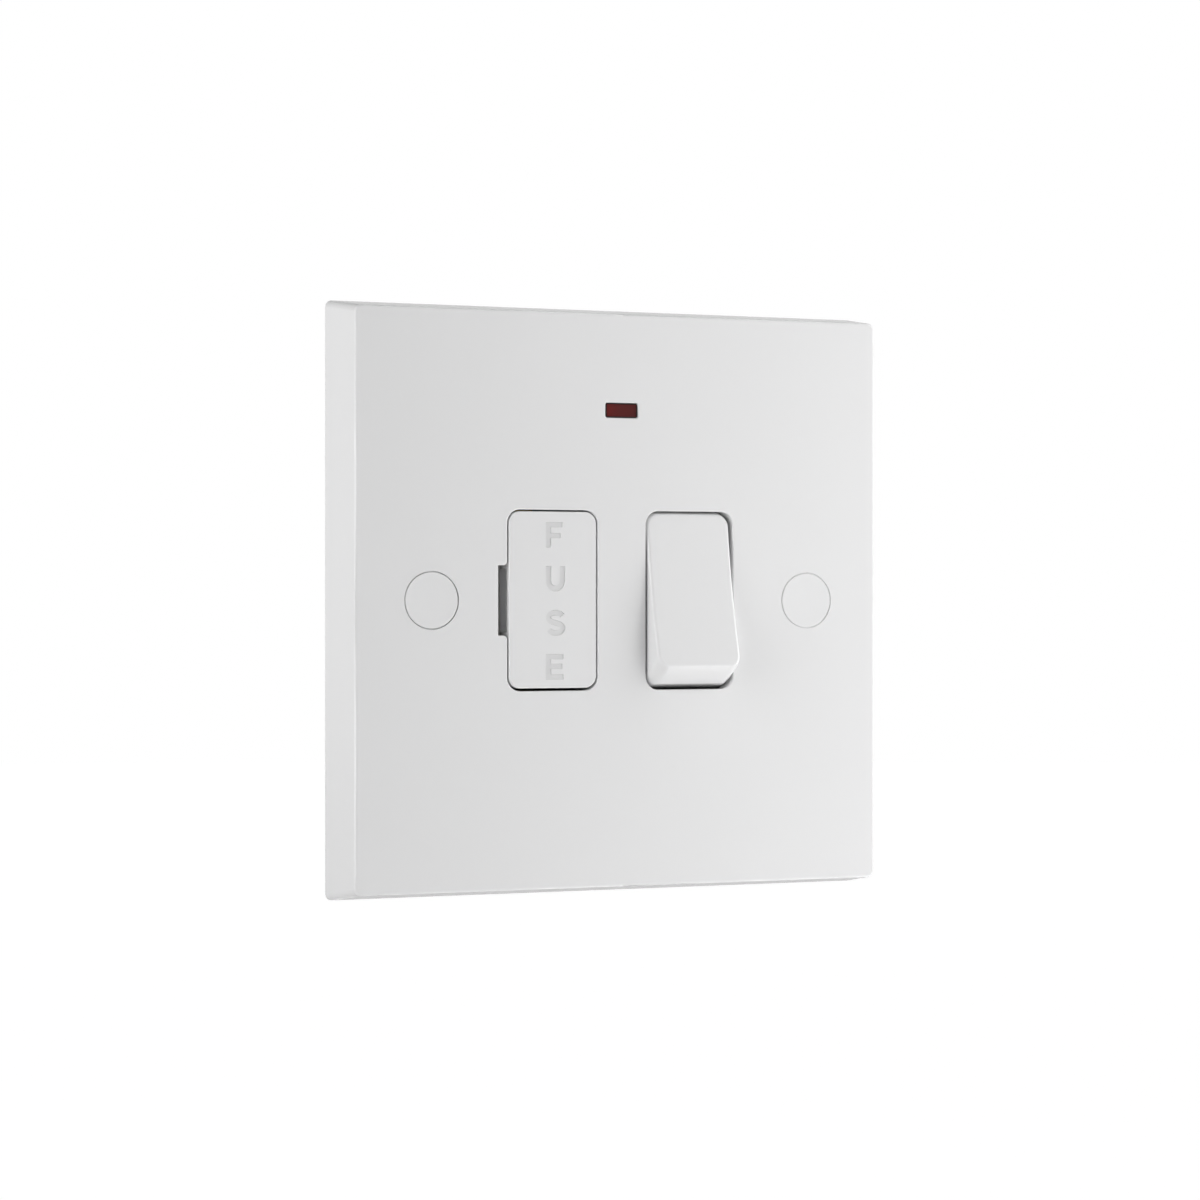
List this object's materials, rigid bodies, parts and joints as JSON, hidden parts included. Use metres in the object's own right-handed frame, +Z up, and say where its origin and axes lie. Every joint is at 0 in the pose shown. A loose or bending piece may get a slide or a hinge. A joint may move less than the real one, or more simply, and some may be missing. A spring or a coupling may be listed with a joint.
{
  "type": "fused spur unit",
  "caption": "White square switched fused connection unit with a rocker, a pull-out fuse carrier, a neon indicator and a rear terminal housing.",
  "frame": {"origin": "centre of the faceplate's back rim, in the wall plane", "axes": "+Y into the wall, the front towards -Y, +Z up, +X to the right seen from the front"},
  "size_m": [0.086, 0.0304, 0.086],
  "materials": {
    "plate_plastic": "moulded white, satin gloss",
    "rocker_plastic": "moulded white, smooth gloss",
    "housing_plastic": "moulded grey, fine matt texture",
    "lens_red": "clear dark red, moulded",
    "lamp_glass": "clear glass bulb",
    "brass": "pressed, bright",
    "plated_steel": "zinc plated",
    "contact_silver": "silver alloy",
    "fuse_ceramic": "matt off-white tube",
    "fuse_metal": "nickel plated",
    "lead_wire": "tinned copper",
    "resistor_body": "lacquered",
    "plunger_plastic": "black nylon"
  },
  "bodies": {
    "unit": {"faceplate": "plate_plastic", "screw_cap_left": "plate_plastic", "screw_cap_right": "plate_plastic", "neon_lens": "lens_red", "neon_lamp": "lamp_glass", "neon_lead_live": "lead_wire", "neon_lead_neutral": "lead_wire", "neon_resistor": "resistor_body", "rear_housing": "housing_plastic", "fuse_clip_upper": "brass", "fuse_clip_lower": "brass", "fixed_tip_live": "contact_silver", "fixed_tip_neutral": "contact_silver", "load_live_terminal": "brass", "load_neutral_terminal": "brass", "supply_live_terminal": "brass", "supply_neutral_terminal": "brass", "earth_terminal_upper": "brass", "earth_terminal_lower": "brass", "earth_strap": "brass", "terminal_screws": "plated_steel", "joint_screws": "plated_steel"},
    "rocker": {"rocker": "rocker_plastic", "plunger_live": "plunger_plastic", "plunger_neutral": "plunger_plastic", "plunger_spring_live": "plated_steel", "plunger_spring_neutral": "plated_steel"},
    "carrier": {"fuse_carrier": "plate_plastic", "fuse_barrel": "fuse_ceramic", "fuse_cap_upper": "fuse_metal", "fuse_cap_lower": "fuse_metal"},
    "contact_live": {"tilting_contact_live": "brass", "tilting_tip_live": "contact_silver"},
    "contact_neutral": {"tilting_contact_neutral": "brass", "tilting_tip_neutral": "contact_silver"}
  },
  "joints": [
    {"name": "rocker_switch", "type": "hinge", "parent": "unit", "child": "rocker", "pos_m": [0.01061, -0.00345, 0], "axis": [1, 0, 0], "range_deg": [0, 23]},
    {"name": "fuse_carrier_pull", "type": "slide", "parent": "unit", "child": "carrier", "axis": [0, -1, 0], "range_m": [0, 0.015]},
    {"name": "live_contact_tilt", "type": "hinge", "parent": "unit", "child": "contact_live", "pos_m": [0.00721, 0.013, 0], "axis": [1, 0, 0], "range_deg": [-24, 0]},
    {"name": "neutral_contact_tilt", "type": "hinge", "parent": "unit", "child": "contact_neutral", "pos_m": [0.01401, 0.013, 0], "axis": [1, 0, 0], "range_deg": [-24, 0]}
  ],
  "couplings": [
    {"joint": "live_contact_tilt", "follows": "rocker_switch", "ratio": -1.0435},
    {"joint": "neutral_contact_tilt", "follows": "rocker_switch", "ratio": -1.0435}
  ]
}
